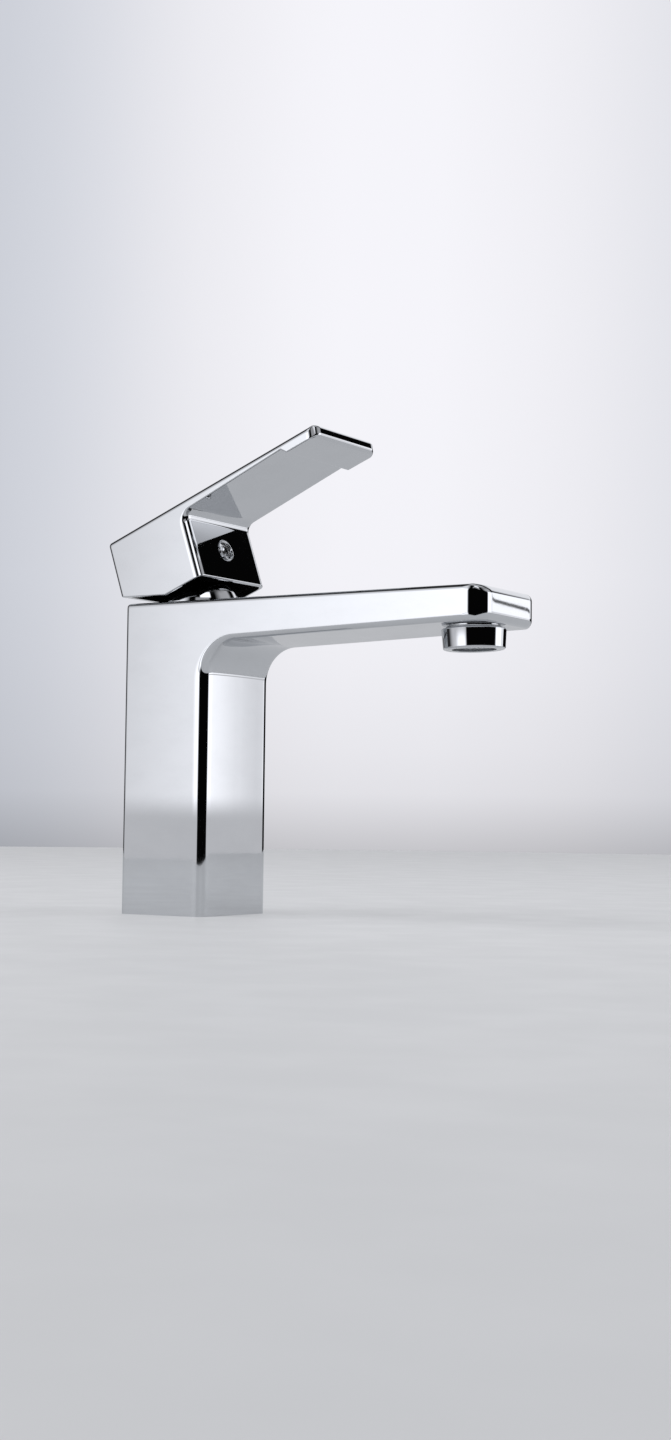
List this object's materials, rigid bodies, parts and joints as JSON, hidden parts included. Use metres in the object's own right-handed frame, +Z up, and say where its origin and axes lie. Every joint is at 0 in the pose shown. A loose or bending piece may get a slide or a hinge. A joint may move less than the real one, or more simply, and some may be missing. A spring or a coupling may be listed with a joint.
{
  "type": "basin mixer faucet",
  "caption": "Single-lever basin mixer: square column, long flat spout with a round aerator, and a paddle lever that lifts and turns over a round dome cap.",
  "frame": {"origin": "centre of the column's foot on the deck's upper face, on the axis of the deck hole", "axes": "+Z up along the column and the handle's swivel axis, +X along the spout towards the aerator, +Y to the left when looking along +X"},
  "size_m": [0.1971, 0.052, 0.274],
  "materials": {
    "chrome_body": "polished chrome plate on cast brass",
    "chrome_handle": "polished chrome plate on cast zinc or brass",
    "chrome_dome": "polished chrome plate on turned brass",
    "chrome_aerator": "polished chrome plate on turned brass",
    "chrome_bezel": "polished chrome plate",
    "clear_index": "clear moulded insert",
    "rubber_black": "matte black rubber",
    "zinc_steel": "zinc-plated steel",
    "bright_steel": "stainless steel",
    "dark_steel": "black oxide steel",
    "plain_brass": "machined brass",
    "cartridge_plastic": "moulded acetal",
    "white_ceramic": "lapped alumina",
    "aerator_plastic": "moulded acetal"
  },
  "bodies": {
    "faucet": {"faucet_body": "chrome_body", "base_seal": "rubber_black", "mounting_stud": "zinc_steel", "rubber_washer": "rubber_black", "steel_washer": "zinc_steel", "stud_nut": "plain_brass", "cartridge_base": "cartridge_plastic", "inlet_seals": "rubber_black", "port_seal": "rubber_black", "cartridge_housing": "cartridge_plastic", "housing_seal": "rubber_black", "fixed_disc": "white_ceramic", "lock_nut": "plain_brass", "dome_cap": "chrome_dome", "dome_seal": "rubber_black", "aerator_shell": "chrome_aerator", "aerator_insert": "aerator_plastic", "aerator_screen": "bright_steel", "aerator_washer": "rubber_black"},
    "swivel": {"turret": "cartridge_plastic", "stem_pin": "bright_steel"},
    "lever": {"handle": "chrome_handle", "stem": "plain_brass", "set_screw": "dark_steel", "index_bezel": "chrome_bezel", "index_lens": "clear_index"},
    "disc_slide": {"disc_carrier": "cartridge_plastic", "moving_disc": "white_ceramic"}
  },
  "joints": [
    {"name": "temperature_swivel", "type": "hinge", "parent": "faucet", "child": "swivel", "pos_m": [0, 0, 0.141], "axis": [0, 0, 1], "range_deg": [-45, 45]},
    {"name": "lever_lift", "type": "hinge", "parent": "swivel", "child": "lever", "pos_m": [0, 0, 0.141], "axis": [0, 1, 0], "range_deg": [0, 22]},
    {"name": "disc_travel", "type": "slide", "parent": "swivel", "child": "disc_slide", "axis": [1, 0, 0], "range_m": [-0.0062, 0]}
  ],
  "couplings": [
    {"joint": "disc_travel", "follows": "lever_lift", "m_per_rad": -0.0159}
  ]
}
